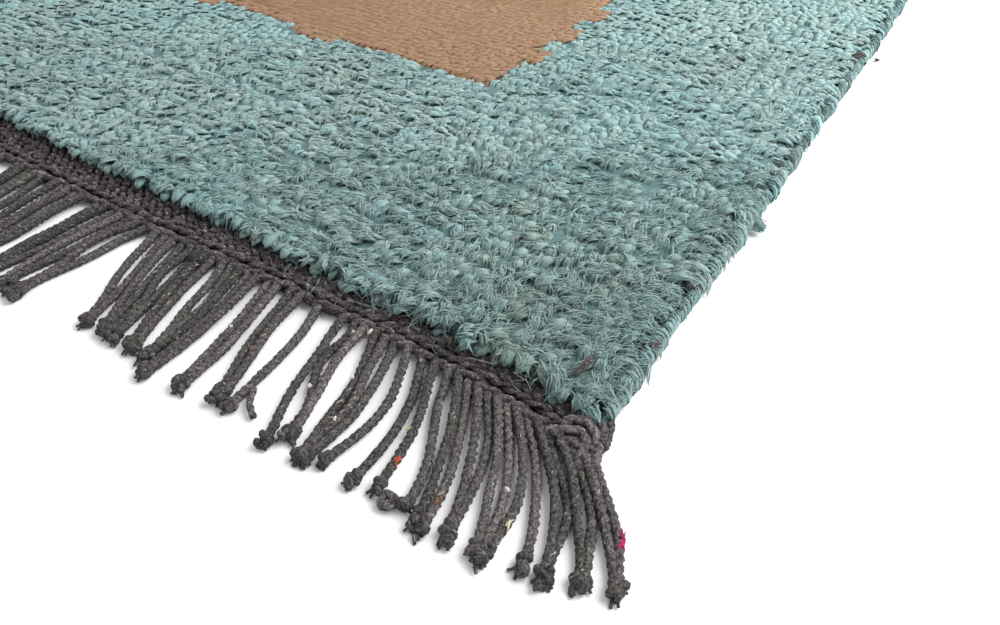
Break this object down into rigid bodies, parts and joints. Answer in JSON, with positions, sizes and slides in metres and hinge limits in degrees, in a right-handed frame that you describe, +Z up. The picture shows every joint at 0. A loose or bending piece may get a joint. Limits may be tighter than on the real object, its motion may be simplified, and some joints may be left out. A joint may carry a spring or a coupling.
{
  "type": "fringed rug",
  "caption": "Rectangular hand-knotted wool pile rug lying flat, with a teal border round a plain camel field, overcast sides, flat-woven charcoal ends and knotted cord fringes.",
  "frame": {"origin": "middle of the rug's underside, on the floor", "axes": "+X across the width, +Y along the length, +Z up out of the pile"},
  "size_m": [0.7616, 1.5574, 0.0133],
  "materials": {
    "teal_pile": "matte cut wool pile",
    "camel_pile": "matte cut wool pile",
    "side_cord": "matte wrapped wool yarn",
    "charcoal_wool": "matte woven wool",
    "charcoal_cord": "matte twisted wool cord with neps"
  },
  "bodies": {
    "root": {"pile_cloth": "teal_pile", "side_cord_left": "side_cord", "side_cord_right": "side_cord", "kilim_end_front": "charcoal_wool", "kilim_end_back": "charcoal_wool", "twined_edge_front": "charcoal_wool", "twined_edge_back": "charcoal_wool", "fringe_front": "charcoal_cord", "fringe_back": "charcoal_cord"}
  },
  "joints": []
}
